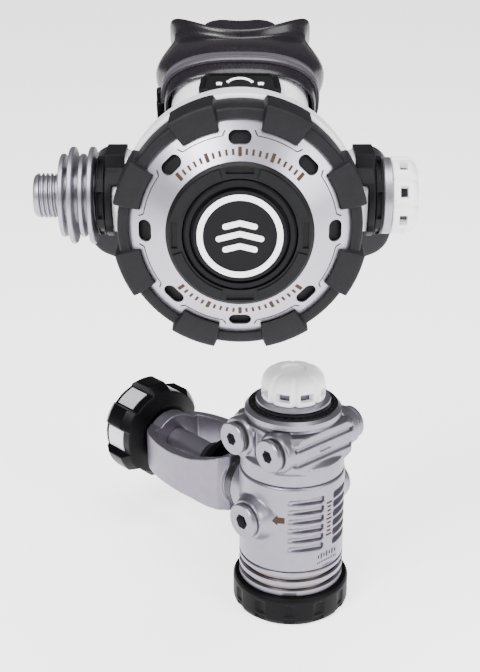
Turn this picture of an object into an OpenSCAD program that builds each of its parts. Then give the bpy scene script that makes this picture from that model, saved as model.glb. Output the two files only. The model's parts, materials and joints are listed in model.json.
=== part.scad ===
// Scuba regulator set: a demand (second) stage with mouthpiece, and a balanced
// diaphragm first stage with a yoke for the cylinder valve.
// Millimetres, +Z up. The origin is the yoke's sealing seat on the first stage.
// Each stage is drawn in its own upright frame and then put in place.

/* [Arrangement] */
// Turn of the first stage about its barrel, yoke to the left and back
first_yaw = -48; // [-90:1:0]
// Second stage ring centre, sideways from the yoke seat
second_x = 1; // [-40:1:40]
// Second stage ring centre, in front of the yoke seat
second_y = -133; // [-240:1:-110]
// Second stage ring centre, above the yoke seat
second_z = 155.5; // [150:0.5:220]

/* [Second stage] */
// Outer radius of the rubber bumper ring between its lugs
ring_r = 37.7; // [37.4:0.1:38.4]
// Outer radius of the bumper ring at its lugs
lug_r = 39.5; // [39:0.1:42]
// Outer radius of the metal cover plate
plate_r = 34.2; // [34.1:0.05:34.25]
// Inner radius of the metal cover plate
plate_bore_r = 22.6; // [22.5:0.05:23]
// Slope of the cover plate, back towards its rim
plate_slope = 28; // [24:1:29]
// Outer radius of the case behind the ring
case_r = 38.8; // [38:0.1:39.2]
// Tilt of the mouthpiece neck above the horizontal
neck_tilt = 30; // [25:1:32]
// Radius of the inlet thread over its crests (9/16 inch)
inlet_r = 7.14375; // [7:0.01:7.2]

/* [First stage] */
// Outer radius of the pressure barrel
barrel_r = 22.4; // [22:0.1:23]
// Outer radius of the rubber end cover
cover_r = 25; // [24.5:0.1:26]
// Height of the yoke axis above the bottom of the end cover
yoke_z = 47.5; // [47:0.1:48]
// Width of the low pressure turret between its two port faces
turret_w = 40; // [39:0.1:41]
// Outer width of the yoke at its middle
yoke_w = 42.6; // [42:0.1:44]
// Outer radius of the handwheel
knob_r = 23.8; // [22:0.1:25]

/* [Hidden] */
$fn = 96;
blend_fn = 28;
eps = 0.01;
fit = 0.05;

// Driving heights and places that several sub-parts share.
seat_x = -34.5;
valve_y = 22;
valve_z = 4;
neck_base = [0, 20, 14.6];
plate_rise = (plate_r - plate_bore_r) * tan(plate_slope);
lug_count = 8;
high_z = 48;
low_z = 80.9;
low_x = 10.8;
// Port threads over their crests: 7/16 inch and 3/8 inch.
high_thread_r = 5.55625;
low_thread_r = 4.7625;

// ---------------------------------------------------------------- helpers

// Puts a solid drawn in the second stage's own frame in place.
module second_stage() { translate([second_x, second_y, second_z]) children(); }

// Puts a solid drawn in the first stage's own frame in place.
module first_stage() {
    rotate([0, 0, first_yaw]) translate([-seat_x, 0, -yoke_z]) children();
}

module along_y(y = 0) { translate([0, y, 0]) rotate([-90, 0, 0]) children(); }

module along_x(x = 0, y = 0, z = 0) { translate([x, y, z]) rotate([0, 90, 0]) children(); }

// Frame of the mouthpiece neck: +Z along it, -Y on its upper side.
module on_neck(d = 0) {
    translate(neck_base) rotate([neck_tilt - 90, 0, 0]) translate([0, 0, d]) children();
}

module tube(r_out, r_in, h) {
    difference() {
        cylinder(r = r_out, h = h);
        translate([0, 0, -1]) cylinder(r = r_in, h = h + 2);
    }
}

// Oval bar along Z, w wide in X and t thick in Y.
module oval(w, t, h) {
    for (side = [-1, 1]) translate([side * (w - t) / 2, 0, 0]) cylinder(r = t / 2, h = h);
    translate([-(w - t) / 2, -t / 2, 0]) cube([w - t, t, h]);
}

// Bar along Z whose ends are bevelled by b.
module bevelled(r, h, b) {
    rotate_extrude() polygon([[0, 0], [r - b, 0], [r, b], [r, h - b], [r - b, h], [0, h]]);
}

// Ring about Z between z = 0 and h with bevelled outer edges.
module bevelled_ring(r_out, r_in, h, b) {
    rotate_extrude() polygon([[r_in, 0], [r_out - b, 0], [r_out, b],
                              [r_out, h - b], [r_out - b, h], [r_in, h]]);
}

// Box centred on X and Y, standing on z = 0.
module block(w, d, h) { translate([-w / 2, -d / 2, 0]) cube([w, d, h]); }

// Wedge of a disc about Z, from angle a0 to a1, as a polygon prism.
module wedge(r, a0, a1, h) {
    reach = r / cos((a1 - a0) / 2);
    linear_extrude(h) polygon([[0, 0], for (i = [0 : 4])
        let (a = a0 + (a1 - a0) * i / 4) [reach * cos(a), reach * sin(a)]]);
}

// Coil spring about Z from z = 0 to h, with closed ends left plain.
coil_sides = 7;
coil_steps = 18;
function coil_ring(r, wire, lift, a) = [for (j = [0 : coil_sides - 1])
    let (b = 360 * j / coil_sides, q = r + wire * cos(b))
    [q * cos(a), q * sin(a), lift + wire * sin(b)]];
module coil(r, wire, h, turns) {
    n = round(turns * coil_steps);
    rings = [for (i = [0 : n])
        each coil_ring(r, wire, wire + (h - 2 * wire) * i / n, 360 * turns * i / n)];
    sides = [for (i = [0 : n - 1], j = [0 : coil_sides - 1])
        let (k = (j + 1) % coil_sides, a = i * coil_sides)
        [a + j, a + coil_sides + j, a + coil_sides + k, a + k]];
    start = [[for (j = [0 : coil_sides - 1]) j]];
    end = [[for (j = [coil_sides - 1 : -1 : 0]) n * coil_sides + j]];
    polyhedron(points = rings, faces = concat(sides, start, end));
}

// ---------------------------------------------------------------- second stage: case

bowl_back = 37;
module bowl_solid() {
    along_y() rotate_extrude() polygon([[0, 1.6], [34, 1.6], [34, 13], [case_r - 0.5, 13],
        [case_r, 13.5], [case_r, 23], [case_r - 0.9, 26.5], [35.2, 29.8], [31.8, 32.6], [27.5, 34.9],
        [23, 36.4], [18, bowl_back], [0, bowl_back]]);
}
module bowl_hollow() {
    along_y() rotate_extrude() polygon([[0, 0], [31.6, 0], [31.6, 3.2], [29.6, 3.2], [29.6, 8],
        [33.4, 13], [35.4, 15], [35.4, 24], [32, 28.6], [27, 31.8], [21, 34.2], [0, 34.6]]);
}

exhaust_tilt = 40;
flap_d = 14.4;
module on_exhaust(d = 0) {
    translate([0, 25, -17]) rotate([-90 - exhaust_tilt, 0, 0]) translate([0, 0, d]) children();
}

arm_r = 11.5;
arm_x = 42.4;
clip_x = arm_x - 3.2;
clip_r = 12.9;
tube_r = 8.2;
module case() {
    color("whitesmoke") second_stage() difference() {
        union() {
            bowl_solid();
            on_neck(0) oval(45, 29, 37);
            on_neck(27) oval(45.6, 29.6, 1.2);
            along_x(-arm_x, valve_y, valve_z) cylinder(r = arm_r, h = 2 * arm_x);
            on_exhaust(0) cylinder(r = 15.6, h = flap_d - 0.2);
            for (side = [-1, 1]) translate([side * (clip_x - 1.4), valve_y, valve_z + 9])
                block(6, 13, 4.6);
        }
        difference() {
            bowl_hollow();
            // The arms' walls stay whole through the side of the bowl.
            for (side = [-1, 1]) along_x(side > 0 ? 31 : -41, valve_y, valve_z)
                cylinder(r = arm_r, h = 10);
        }
        on_neck(-6) oval(41, 25, 50);
        along_x(-50, valve_y, valve_z) cylinder(r = tube_r + fit, h = 100);
        on_exhaust(-4) cylinder(r = 12.6, h = 30);
        on_exhaust(flap_d - 0.2) cylinder(r = 15.6, h = 10);
    }
}

// ---------------------------------------------------------------- second stage: front

module lug(a) {
    rotate([0, 0, a]) intersection() {
        rotate_extrude() polygon([[31.2, -2.6], [33, -3.4], [lug_r - 1.5, -2.6], [lug_r, -0.6],
            [lug_r, 11], [lug_r - 1, 12.6], [plate_r + 0.1, 12.6], [plate_r + 0.1, 1.55], [31.2, 1.55]]);
        translate([0, 0, -5]) wedge(lug_r + 1, -10.6, 10.6, 20);
    }
}

module front_ring() {
    color("dimgray") second_stage() difference() {
        along_y() union() {
            rotate_extrude() polygon([[plate_r + 0.1, -1.2], [ring_r - 1.2, -1.2], [ring_r, 0],
                [ring_r, 12], [ring_r - 0.8, 12.98], [plate_r + 0.1, 12.98]]);
            for (i = [0 : lug_count - 1]) lug(22.5 + i * 45);
        }
        along_x(-50, valve_y, valve_z) cylinder(r = clip_r + 0.15, h = 100);
    }
}

module cover_plate() {
    wall = 1.2;
    color("silver") second_stage() along_y() difference() {
        rotate_extrude() polygon([[plate_bore_r, -plate_rise], [plate_r, 0], [plate_r, 1.5],
            [plate_r - wall, 1.5], [plate_r - wall, 0.6], [plate_bore_r + 1.2, -plate_rise + wall + 0.6],
            [plate_bore_r, -plate_rise + wall + 0.6]]);
        for (i = [0 : lug_count - 1]) rotate([0, 0, i * 45]) {
            translate([29, 0, -12]) rotate([0, 0, 90]) oval(7, 4, 20);
            rotate([0, 0, 22.5]) intersection() {
                translate([0, 0, -12]) tube(40, 31.1, 20);
                translate([0, 0, -12]) wedge(41, -10.9, 10.9, 20);
            }
        }
    }
}

module diaphragm_clamp_ring() {
    color("#202024") second_stage() along_y() rotate_extrude()
        polygon([[24.6, -2.2], [26.6, -2.2], [30.9, -0.2], [30.9, 1.6], [31.5, 1.62],
            [31.5, 2.2], [24.6, 2.2]]);
}

module purge_housing() {
    color("#26262a") second_stage() along_y() difference() {
        union() {
            rotate_extrude() polygon([[17.6, -7.4], [21.6, -7.4], [22.5, -6.6], [22.5, -2.8],
                [24.5, -2.8], [24.5, 1.6], [20, 1.6], [20, -1.4], [17.6, -1.4]]);
            for (i = [0 : 3]) rotate([0, 0, 45 + 90 * i]) intersection() {
                translate([0, 0, -8]) tube(21.4, 18.4, 1);
                translate([0, 0, -9]) wedge(23, -28, 28, 4);
            }
        }
        for (i = [0 : 3]) rotate([0, 0, 90 * i]) translate([19.9, 0, -9]) block(1.8, 8.4, 2.4);
    }
}

module purge_button() {
    color("#232327") second_stage() along_y() difference() {
        rotate_extrude() polygon([[0, -8.5], [14.2, -8.5], [14.2, -6.6], [14.9, -6.6], [15.3, -7.8],
            [16.6, -7.8], [17.2, -7], [17.2, -2.6], [6, -2.6], [6, 1.3], [0, 1.3]]);
        translate([0, 0, -8.6]) tube(13.1, 11.2, 1.0);
        translate([0, 0, -8.6]) emblem_outline(0.06, 0.7);
    }
}

// Three stacked wave bars, drawn from cylinders and boxes.
module wave_bar(w, grow, h) {
    for (side = [-1, 1]) translate([side * w / 4, 0, 0]) rotate([0, 0, side * 14])
        oval(w / 2 + 1.8 + 2 * grow, 1.8 + 2 * grow, h);
}
module emblem_outline(grow, h) {
    for (i = [-1 : 1]) translate([0, 3.6 * i, 0]) wave_bar(abs(i) == 1 ? 9 : 13, grow, h);
}

module purge_emblem() {
    color("white") second_stage() along_y(-8.6) emblem_outline(0, 0.66);
}

module purge_trim_ring() {
    color("white") second_stage() along_y(-8.7) tube(13.05, 11.25, 1.05);
}

module purge_spring() {
    color("lightgray") second_stage() along_y(-2.55) coil(10, 0.35, 4.2, 3);
}

module diaphragm() {
    color("#6c6f75") second_stage() along_y() rotate_extrude() polygon([[16, 2.3], [22, 2.3],
        [24, 3.6], [26.5, 3.6], [28.5, 2.3], [31.4, 2.3], [31.4, 3.15], [28.9, 3.15], [26.9, 4.4],
        [23.6, 4.4], [21.6, 3.15], [16, 3.15]]);
}

module diaphragm_plate() {
    color("gainsboro") second_stage() along_y() rotate_extrude() polygon([[0, 1.65], [11, 1.65],
        [15.9, 2.3], [15.9, 3.2], [11, 2.65], [0, 2.65]]);
}

// ---------------------------------------------------------------- second stage: valve

pivot = [12, 11.2, 4];
module demand_lever() {
    color("silver") second_stage() translate(pivot) union() {
        translate([0, 0, -3]) cylinder(r = 1.4, h = 6);
        translate([-19.4, -8.3, -2.5]) cube([4, 1, 5]);
        rotate([0, 0, 26]) translate([-17.6, -0.5, -2.5]) cube([17.6, 1, 5]);
        translate([0.05, 0, -2.5]) cube([1, 7.3, 5]);
    }
}

module valve_tube() {
    color("silver") second_stage() difference() {
        along_x(-arm_x, valve_y, valve_z) tube(tube_r, 6.5, 2 * arm_x);
        translate([pivot[0] - 4, valve_y - 14, valve_z - 3.4]) cube([9, 10, 6.8]);
        translate([-5, valve_y + 4, valve_z]) rotate([-90, 0, 0]) cylinder(r = 2.2, h = 6);
    }
}

module inlet_orifice() {
    color("goldenrod") second_stage() along_x(-20, valve_y, valve_z) rotate_extrude()
        polygon([[2, 0], [6.45, 0], [6.45, 10], [4.2, 12], [2.4, 12.6], [2, 12.6]]);
}

module poppet() {
    color("silver") second_stage() along_x(-7.3, valve_y, valve_z) rotate_extrude()
        polygon([[0, 0], [3.6, 0], [3.6, 4], [2, 4.6], [2, 20.6], [5.9, 20.6], [5.9, 23.2],
            [2.2, 23.2], [2.2, 27], [0, 27]]);
}

module poppet_spring() {
    color("lightgray") second_stage() along_x(16, valve_y, valve_z) coil(4.6, 0.5, 15.5, 6);
}

stub_r = 6.6;
module inlet_stub() {
    color("silver") second_stage() along_x(-65.6, valve_y, valve_z) rotate_extrude()
        polygon([[4.2, 0], [inlet_r - 0.8, 0], [inlet_r, 0.8], [inlet_r, 8.2], [stub_r, 8.3],
            [stub_r, 23.1], [6.4, 23.15], [6.4, 45], [3, 45], [3, 14], [4.2, 12]]);
}

// Four cooling fins on a waisted core.
fin_x = [-56.2, -53.1, -50, -46.9];
fin_r = [13.3, 15.5, 13.3, 15.5];
module heat_exchanger() {
    core_r = 8.75;
    color("silver") second_stage() difference() {
        union() {
            along_x(-57.3, valve_y, valve_z) bevelled(core_r, 11.8, 0.5);
            for (i = [0 : 3]) along_x(fin_x[i] - 0.8, valve_y, valve_z) bevelled(fin_r[i], 1.6, 0.3);
        }
        along_x(-60, valve_y, valve_z) cylinder(r = stub_r + fit, h = 20);
    }
}

// Collar with a window between two rims, x from 0 to w.
module collar(w, bore) {
    difference() {
        bevelled_ring(12.5, bore, w, 0.4);
        translate([0, 0, w * 0.25]) tube(13, 11.5, w * 0.5);
    }
    for (i = [0 : 5]) rotate([0, 0, 60 * i]) translate([11.8, 0, 0.2]) block(1.2, 4, w - 0.4);
}
module left_collar() {
    color("#2a2a2e") second_stage() along_x(-45.4, valve_y, valve_z) collar(2.95, stub_r + fit);
}
module right_collar() {
    color("#2a2a2e") second_stage() along_x(arm_x + 0.05, valve_y, valve_z) collar(2.55, 7.4);
}

module end_ring() {
    color("silver") second_stage() along_x(45.05, valve_y, valve_z)
        rotate_extrude() polygon([[5, -2.5], [7.3, -2.5], [7.3, 0], [11.9, 0], [12.25, 0.4],
            [12.25, 2.6], [11.9, 2.95], [5, 2.95]]);
}

module end_cap() {
    color("white") second_stage() along_x(48.02, valve_y, valve_z) difference() {
        rotate_extrude() polygon([[0, 0], [12.4, 0], [12.5, 0.5], [12.5, 3], [11.6, 5.6],
            [9.6, 7.6], [8, 8.4], [0, 8.5]]);
        translate([0, 0, 6.8]) cylinder(r = 5.2, h = 4);
        for (i = [0 : 5]) rotate([0, 0, 60 * i + 15]) {
            translate([11.6, 0, 1.3]) block(3.4, 5.6, 2.2);
            rotate([0, 0, 30]) translate([14.4, 0, -1]) cylinder(r = 3, h = 12);
        }
    }
}

// Saddle over the arm with a flat tab on top.
module arm_clip(side) {
    color("#242428") second_stage() translate([side * clip_x, valve_y, valve_z]) difference() {
        union() {
            along_x(-3.2) cylinder(r = clip_r, h = 6.4);
            translate([0, 0, 11]) block(6.4, 14, 4.2);
            translate([0, -7, -9]) block(6.4, 8, 16);
        }
        along_x(-5) cylinder(r = arm_r + 0.02, h = 10);
        translate([0, 0, 8]) block(10, 13.1, 5.7);
        translate([-side * 2.2, 0, -20]) block(6, 60, 26);
        translate([-side * clip_x, -valve_y, -valve_z]) bowl_solid_clear();
    }
}
module left_arm_clip() { arm_clip(-1); }
module right_arm_clip() { arm_clip(1); }

// ---------------------------------------------------------------- second stage: exhaust

module exhaust_valve() {
    color("#55585e") second_stage() on_exhaust(flap_d)
        rotate_extrude() polygon([[0, 0], [13.9, 0], [13.9, 0.6], [3, 1.4], [0, 1.8]]);
}

tee_front = 38.6;
tee_depth = 19;
module tee_outline(wall) {
    for (side = [-1, 1]) hull() {
        translate([side * 43, 4]) circle(8 - wall, $fn = blend_fn);
        translate([side * 41.5, -13]) circle(9.5 - wall, $fn = blend_fn);
        translate([0, -25]) circle(13 - wall, $fn = blend_fn);
    }
}
module tee_slab(wall, y, depth) {
    translate([0, y + depth, 0]) rotate([90, 0, 0]) linear_extrude(depth) tee_outline(wall);
}
module exhaust_tee() {
    color("#1f1f22") second_stage() difference() {
        union() {
            tee_slab(0, tee_front, tee_depth);
            on_exhaust(6.4) cylinder(r = 17.4, h = 16);
        }
        tee_slab(2, tee_front + 2, tee_depth - 4);
        on_exhaust(0) cylinder(r = 15.65, h = 22);
        for (side = [-1, 1]) translate([side * 50, tee_front + tee_depth / 2, -17])
            block(8, tee_depth - 5, 24);
        bowl_solid_clear();
    }
}
// The bowl with a small gap all round, taken out of what sits against it.
module bowl_solid_clear() {
    along_y() rotate_extrude() polygon([[0, 1], [case_r + 0.3, 1], [case_r + 0.3, 23.1],
        [case_r - 0.6, 26.8], [35.5, 30.1], [32, 32.95], [27.7, 35.2], [23.1, 36.7], [18, 37.3],
        [0, 37.3]]);
}

// ---------------------------------------------------------------- second stage: mouthpiece

module mouthpiece() {
    color("#3a3a3e") second_stage() on_neck(0) difference() {
        union() {
            translate([0, 0, 24]) oval(49.8, 33.8, 14);
            hull() {
                translate([0, 0, 37]) oval(49.8, 33.8, 1, $fn = blend_fn);
                translate([0, 0, 46]) oval(57, 29, 1, $fn = blend_fn);
                translate([0, 0, 54]) oval(52, 24, 1, $fn = blend_fn);
            }
            translate([0, 0, 54]) oval(50, 26, 3);
            hull() {
                translate([0, 0, 56]) oval(34, 13, 1, $fn = blend_fn);
                translate([0, 0, 67]) oval(26, 11, 1, $fn = blend_fn);
            }
        }
        translate([0, 0, 20]) oval(45.7, 29.7, 17.1);
        translate([0, 0, 30]) oval(36, 18, 20);
        translate([0, 0, 40]) oval(22, 9, 40);
    }
}

module mouthpiece_clamp() {
    color("#2c2c30") second_stage() on_neck(29.4) union() {
        difference() {
            oval(52.4, 36.4, 3.8);
            translate([0, 0, -1]) oval(49.9, 33.9, 6);
        }
        translate([-27.4, 0, -0.4]) block(3.4, 8, 4.6);
    }
}

// Small fixed baffle that steers the air stream in the neck.
module flow_vane() {
    color("#303034") second_stage() on_neck(17) union() {
        translate([0, -11.6, 0]) rotate([-90, 0, 0]) cylinder(r = 1.9, h = 21);
        translate([-0.8, -9.5, 0]) cube([1.6, 17, 9]);
    }
}

// Plain plate with a raised rim on top of the neck.
module neck_badge() {
    color("#232326") second_stage() difference() {
        on_neck(15.2) union() {
            translate([-13.6, -17.6, 0]) cube([27.2, 3.05, 8.6]);
            translate([-12, -18.2, 1.2]) cube([24, 1, 6.4]);
        }
        on_neck(17.4) translate([-10.6, -18.7, 0]) cube([21.2, 1, 4.6]);
        bowl_solid_clear();
    }
}

// ---------------------------------------------------------------- first stage: barrel

slot_count = 6;
slot_pitch = 4.4;
// Tapered groove across the barrel's surface, which is at x = 0; its deep end is at -Y.
module cooling_slot() {
    deep = 2.6;
    tilt = 6;
    rotate([0, 0, -tilt]) rotate([90, 0, 90]) translate([0, 0, -deep]) linear_extrude(8)
        polygon([[-8, -1.55], [8, -0.85], [8, 0.85], [-8, 1.55]]);
}

module first_body() {
    color("silver") first_stage() difference() {
        union() {
            translate([0, 0, 24.8]) bevelled(barrel_r, 40.2, 0.8);
            // Bosses of the two high pressure ports.
            for (side = [-1, 1]) translate([0, 0, high_z]) rotate([side * -90, 0, 0])
                rotate_extrude() polygon([[0, 0], [15.6, 0], [15.6, 13.5], [14.4, 16], [12, 19],
                    [10.2, 22], [9, 24.6], [8.6, 26.4], [0, 26.4]]);
            // Boss that the yoke's retainer screws into.
            along_x(-24, 0, yoke_z) cylinder(r = 14, h = 12);
        }
        // Spring chamber, intermediate chamber, orifice, high pressure chamber.
        translate([0, 0, 24]) cylinder(r = 17.6, h = 7);
        translate([0, 0, 24]) cylinder(r = 15.4, h = 9);
        translate([0, 0, 24]) cylinder(r = 11, h = 11);
        translate([0, 0, 30]) cylinder(r = 2.2, h = 12);
        translate([0, 0, 38]) cylinder(r = 6, h = 20);
        translate([0, 0, 57]) cylinder(r = 7.5, h = 9);
        // Inlet and port drillings.
        along_x(-30, 0, yoke_z) cylinder(r = 7.05, h = 16);
        along_x(-20, 0, yoke_z) cylinder(r = 3, h = 20);
        rotate([90, 0, 0]) translate([0, high_z, -30]) cylinder(r = 2.4, h = 60);
        for (side = [-1, 1]) rotate([90, 0, 0]) translate([0, high_z, side > 0 ? 13 : -33])
            cylinder(r = high_thread_r + fit, h = 20);
        // Passage up to the turret.
        translate([9.4, 0, 33]) cylinder(r = 1.3, h = 24.5);
        translate([9.4, 0, 56]) block(6, 2.4, 3);
        // Cooling slots on both sides of the label strip, deep and wide beside it, and at the back.
        for (side = [0, 1], i = [0 : slot_count - 1]) mirror([0, side, 0])
            rotate([0, 0, 28]) translate([barrel_r, 0, 36.2 + slot_pitch * i]) cooling_slot();
        for (i = [0 : 2]) translate([0, 0, 41.2 + 5 * i]) for (side = [-1, 1])
            rotate([0, 0, 180 + side * 50]) translate([barrel_r, 0, 0]) rotate([0, 90, 0])
                translate([0, 0, -1.8]) rotate([0, 0, 90]) oval(7, 2, 6);
        // Wrench flat.
        translate([barrel_r - 0.8, -7, 25.6]) cube([4, 14, 8.4]);
    }
}

// Ring that holds the diaphragm and the main spring, with two deep grooves.
module spring_housing() {
    color("silver") first_stage() difference() {
        rotate_extrude() polygon([[15.2, 13.45], [22, 13.45], [barrel_r, 13.8], [barrel_r, 16],
            [21, 16.2], [21, 18.3], [barrel_r, 18.5], [barrel_r, 20.4], [21, 20.6], [21, 22.7],
            [barrel_r, 22.9], [barrel_r, 24.4], [22, 24.75], [17.5, 24.75], [17.5, 30], [14.6, 30],
            [14.6, 21], [13.2, 21], [13.2, 15.2], [15.2, 15.2]]);
        for (i = [0 : 3]) rotate([0, 0, 45 + 90 * i]) translate([barrel_r, 0, 13])
            block(1.6, 6, 2.4);
    }
}

module end_cover() {
    sides = 12;
    color("#1c1c1f") first_stage() difference() {
        rotate_extrude() polygon([[0, 0], [23.2, 0], [24.4, 1], [cover_r, 2.6], [cover_r, 12],
            [24.2, 13.4], [0, 13.4]]);
        translate([0, 0, 3]) cylinder(r = 21.4, h = 20);
        for (i = [0 : sides - 1]) rotate([0, 0, 360 / sides * (i + 0.5)]) {
            translate([cover_r, 0, -1]) block(3.2, 5, 4.6);
            translate([cover_r + 5.3, 0, 4.8]) cylinder(r = 6, h = 5.8);
        }
    }
}

module environmental_diaphragm() {
    color("#4a4d52") first_stage() translate([0, 0, 12.4]) cylinder(r = 17.5, h = 1);
}

module spring_adjuster() {
    color("goldenrod") first_stage() translate([0, 0, 15.6]) difference() {
        cylinder(r = 13.15, h = 4.2);
        translate([0, 0, -1]) cylinder(r = 5.6, h = 8);
        for (i = [0 : 1]) rotate([0, 0, 90 * i]) translate([0, 0, -0.4]) block(30, 3, 1.6);
    }
}

module main_spring() {
    color("#8f949b") first_stage() translate([0, 0, 19.85]) coil(9.6, 1.35, 8.2, 2.5);
}

// Disc and stem that pass the water's pressure on to the main diaphragm.
module load_transmitter() {
    color("gainsboro") first_stage() rotate_extrude() polygon([[0, 13.5], [12.6, 13.5], [12.6, 14.6],
        [5, 15], [5, 28.1], [12.4, 28.1], [12.4, 29.9], [0, 29.9]]);
}

module main_diaphragm() {
    color("#3f4247") first_stage() translate([0, 0, 30.02]) cylinder(r = 17.4, h = 0.94);
}

module valve_lifter() {
    color("goldenrod") first_stage() union() {
        translate([0, 0, 31]) cylinder(r = 7, h = 1.4);
        translate([0, 0, 32.3]) cylinder(r = 1, h = 8.4);
    }
}

module seat_insert() {
    color("goldenrod") first_stage() rotate_extrude() polygon([[1.5, 38.02], [5.95, 38.02],
        [5.95, 40], [2.4, 40], [2, 40.6], [1.5, 40.6]]);
}

module main_poppet() {
    color("gainsboro") first_stage() rotate_extrude() polygon([[0, 40.75], [3.4, 40.75],
        [3.4, 43.4], [1.8, 44], [1.8, 55.6], [0, 55.6]]);
}

module main_poppet_spring() {
    color("#9aa0a8") first_stage() translate([0, 0, 43.6]) coil(2.7, 0.35, 11.6, 8);
}

module balance_plug() {
    color("goldenrod") first_stage() rotate_extrude() polygon([[1.86, 55.3], [5.9, 55.3], [5.9, 57.02],
        [7.4, 57.02], [7.4, 59], [0, 59], [0, 56.8], [1.86, 56.8]]);
}

// Hexagon socket plug, head outward along +Z from z = 0.
module port_plug(head_r, thread_r, depth, key) {
    difference() {
        union() {
            translate([0, 0, -depth]) cylinder(r = thread_r, h = depth + eps);
            bevelled(head_r, 2.4, 0.5);
        }
        translate([0, 0, 2.4 - 3.6]) cylinder(r = key / sqrt(3), h = 5, $fn = 6);
    }
}
module high_port_plugs() {
    color("silver") first_stage() for (side = [-1, 1])
        translate([0, side * 26.5, high_z]) rotate([side * -90, 0, 0])
            port_plug(7.6, high_thread_r, 9, 6);
}

// ---------------------------------------------------------------- first stage: turret

bolt_r = 9.2;
module turret_bolt() {
    color("silver") first_stage() rotate_extrude() polygon([[4, 59.2], [7.4, 59.2], [7.4, 65.1],
        [bolt_r, 65.1], [bolt_r, 86], [12, 86], [12, 88.4], [4, 88.4]]);
}

module turret() {
    half_x = 19.5;
    turret_corner_r = 24.8;
    color("silver") first_stage() difference() {
        union() {
            translate([0, 0, 65.1]) rotate_extrude() polygon([[0, 0], [21.6, 0], [22, 0.4],
                [22, 7.6], [20, 9], [0, 9]]);
            translate([0, 0, 71]) intersection() {
                block(2 * half_x, turret_w, 17);
                bevelled(turret_corner_r, 17, 2);
            }
            for (s = [-1, 1], x = [-1, 1]) translate([x * low_x, 0, low_z]) rotate([s * -90, 0, 0])
                translate([0, 0, turret_w / 2 - 6]) bevelled(8.5, 7.4, 0.9);
            translate([0, 0, 86]) cylinder(r = 19, h = 3.4);
        }
        translate([0, 0, 60]) cylinder(r = bolt_r + fit, h = 40);
        translate([0, 0, 85.95]) cylinder(r = 12.1, h = 10);
        for (s = [-1, 1]) {
            for (x = [-1, 1]) rotate([90, 0, 0]) translate([x * low_x, low_z, s > 0 ? 12.5 : -32.5])
                cylinder(r = low_thread_r + fit, h = 20);
            // Long grooves round the flanks, a mark on each and a recess between the plugs.
            for (z = [75.8, 82.6]) translate([s * 30, 0, z]) difference() {
                block(60, 34, 1.7);
                translate([-s * 30, 0, -1]) intersection() {
                    cylinder(r = turret_corner_r - 1.2, h = 4);
                    block(2 * half_x - 2.2, 40, 4);
                }
            }
            translate([s * half_x, 0, 79]) block(1, 7, 2.2);
            translate([0, s * (turret_w / 2 + 0.2), 74.6]) block(4.4, 3, 11);
        }
        // Passages from the bolt to the four ports.
        for (x = [-1, 1]) rotate([90, 0, 0]) translate([x * low_x, low_z, -20]) cylinder(r = 1.8, h = 40);
    }
}

module low_port_plugs() {
    color("silver") first_stage() for (s = [-1, 1], x = [-1, 1])
        translate([x * low_x, s * (turret_w / 2 + 2.5), low_z]) rotate([s * -90, 0, 0])
            port_plug(7, low_thread_r, 8.6, 5);
}

// One O-ring under the head of each low pressure plug.
module port_o_rings() {
    color("black") first_stage() for (s = [-1, 1], x = [-1, 1])
        translate([x * low_x, s * (turret_w / 2 + 1.95), low_z]) rotate([s * -90, 0, 0])
            rotate_extrude($fn = 48) translate([6.1, 0]) circle(0.5, $fn = 24);
}

module turret_top_ring() {
    color("silver") first_stage() rotate_extrude() polygon([[12.2, 89.45], [19.6, 89.45], [20.2, 90],
        [20.2, 92.2], [18.6, 93.4], [16.4, 93.4], [16.4, 91.4], [12.2, 91.4]]);
}

module cap_flange() {
    color("silver") first_stage() rotate_extrude() polygon([[0, 89.6], [12, 89.6], [12, 91.5],
        [15.8, 91.5], [15.8, 93.8], [12.6, 94.4], [15, 95.2], [15.6, 95.7], [15.4, 96.4],
        [13, 97], [0, 97]]);
}

module top_cap() {
    color("white") first_stage() translate([0, 0, 97.02]) difference() {
        rotate_extrude() polygon([[0, 0], [12.9, 0], [13.4, 0.6], [13.4, 4.4], [12.4, 7.6],
            [10.4, 10], [7.8, 11.6], [0, 12]]);
        translate([0, 0, 9.6]) cylinder(r = 4.6, h = 5);
        for (i = [0 : 5]) rotate([0, 0, 60 * i + 12]) {
            translate([12.4, 0, 1.6]) block(3.6, 6, 3.2);
            rotate([0, 0, 30]) translate([15.4, 0, -1]) cylinder(r = 3.2, h = 15);
        }
    }
}

// ---------------------------------------------------------------- first stage: yoke

// Hollow bolt that carries the seat and holds the yoke to the body.
module yoke_retainer() {
    color("#6d6f74") first_stage() along_x(seat_x, 0, yoke_z) rotate_extrude() polygon([[5, 0],
        [10.2, 0], [10.6, 0.4], [10.6, 1.9], [8.2, 1.9], [8.2, 10.45], [7, 10.45], [7, 19],
        [2.5, 19], [2.5, 7], [5, 6]]);
}

module yoke_collar() {
    color("#55575c") first_stage() along_x(-28, 0, yoke_z) bevelled_ring(13.9, 8.25, 3.95, 0.5);
}

module inlet_filter() {
    color("#a58a50") first_stage() along_x(seat_x + 0.3, 0, yoke_z)
        rotate_extrude() polygon([[0, 2.4], [3.2, 1.4], [4.8, 1.4], [4.8, 4], [0, 4]]);
}

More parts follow.
